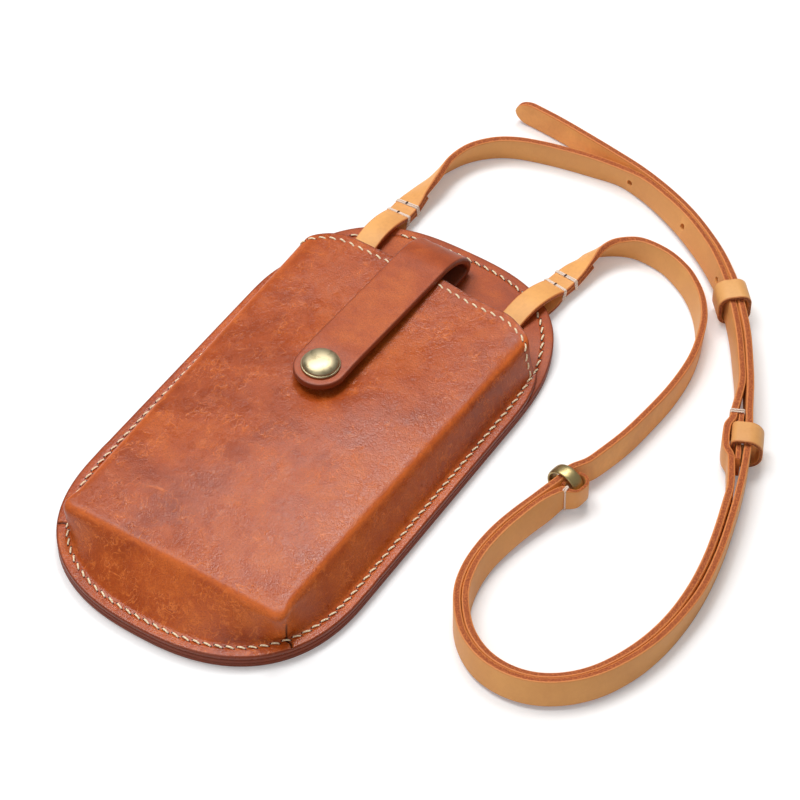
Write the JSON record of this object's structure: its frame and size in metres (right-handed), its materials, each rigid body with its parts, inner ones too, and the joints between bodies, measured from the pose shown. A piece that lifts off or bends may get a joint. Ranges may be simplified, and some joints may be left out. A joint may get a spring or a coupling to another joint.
{
  "type": "phone pouch",
  "caption": "Flat leather phone pouch with a moulded front pocket, a snap tab over its mouth and a long crossbody strap with keepers and a ring.",
  "frame": {"origin": "centre of the back face, which lies on the ground", "axes": "+Z out of the front of the pouch, +Y toward the mouth and the strap, +X to the right seen from the front"},
  "size_m": [0.2141, 0.2933, 0.0301],
  "materials": {
    "back_panel": "smooth pull-up leather, reddish brown, waxed edge",
    "back_lining": "smooth brown lining leather",
    "front_panel": "moulded pull-up leather, orange brown with lighter creases",
    "tab_root": "smooth pull-up leather, sewn down",
    "snap_stud": "antique brass",
    "snap_post": "antique brass",
    "left_strap_upper": "natural tan strap leather, burnished edges",
    "right_strap_upper": "natural tan strap leather, burnished edges",
    "right_strap_tail": "natural tan strap leather, burnished edges",
    "closure_tab": "smooth pull-up leather",
    "snap_cap": "antique brass, satin",
    "snap_socket": "antique brass",
    "snap_spring": "spring wire",
    "left_strap_lower": "natural tan strap leather, burnished edges",
    "right_strap_lower": "natural tan strap leather, burnished edges",
    "keeper_patch": "natural tan strap leather",
    "fixed_keeper": "light tan leather",
    "sliding_keeper": "light tan leather",
    "adjuster_ring": "antique brass, worn bright on the crown"
  },
  "bodies": {
    "pouch": {"back_panel": "back_panel", "back_lining": "back_lining", "front_panel": "front_panel", "tab_root": "tab_root", "snap_stud": "snap_stud", "snap_post": "snap_post", "left_strap_upper": "left_strap_upper", "right_strap_upper": "right_strap_upper", "right_strap_tail": "right_strap_tail"},
    "tab": {"closure_tab": "closure_tab", "snap_cap": "snap_cap", "snap_socket": "snap_socket", "snap_spring": "snap_spring"},
    "strap_loop": {"left_strap_lower": "left_strap_lower", "right_strap_lower": "right_strap_lower", "keeper_patch": "keeper_patch", "fixed_keeper": "fixed_keeper"},
    "slider": {"sliding_keeper": "sliding_keeper"},
    "ring": {"adjuster_ring": "adjuster_ring"}
  },
  "joints": [
    {"name": "tab_hinge", "type": "hinge", "parent": "pouch", "child": "tab", "pos_m": [-0.0037, 0.098, 0.0103], "axis": [-1, 0, 0], "range_deg": [0, 120]},
    {"name": "strap_bend", "type": "hinge", "parent": "pouch", "child": "strap_loop", "pos_m": [0.0983, 0.1035, 0.0124], "axis": [-0.9272, -0.3746, 0], "range_deg": [0, 60]},
    {"name": "keeper_slide", "type": "slide", "parent": "pouch", "child": "slider", "axis": [0.613, -0.7901, 0], "range_m": [0, 0.02]},
    {"name": "ring_turn", "type": "hinge", "parent": "strap_loop", "child": "ring", "pos_m": [0.0902, 0.0273, 0.0069], "axis": [0.1564, 0.9877, 0], "continuous": true}
  ]
}
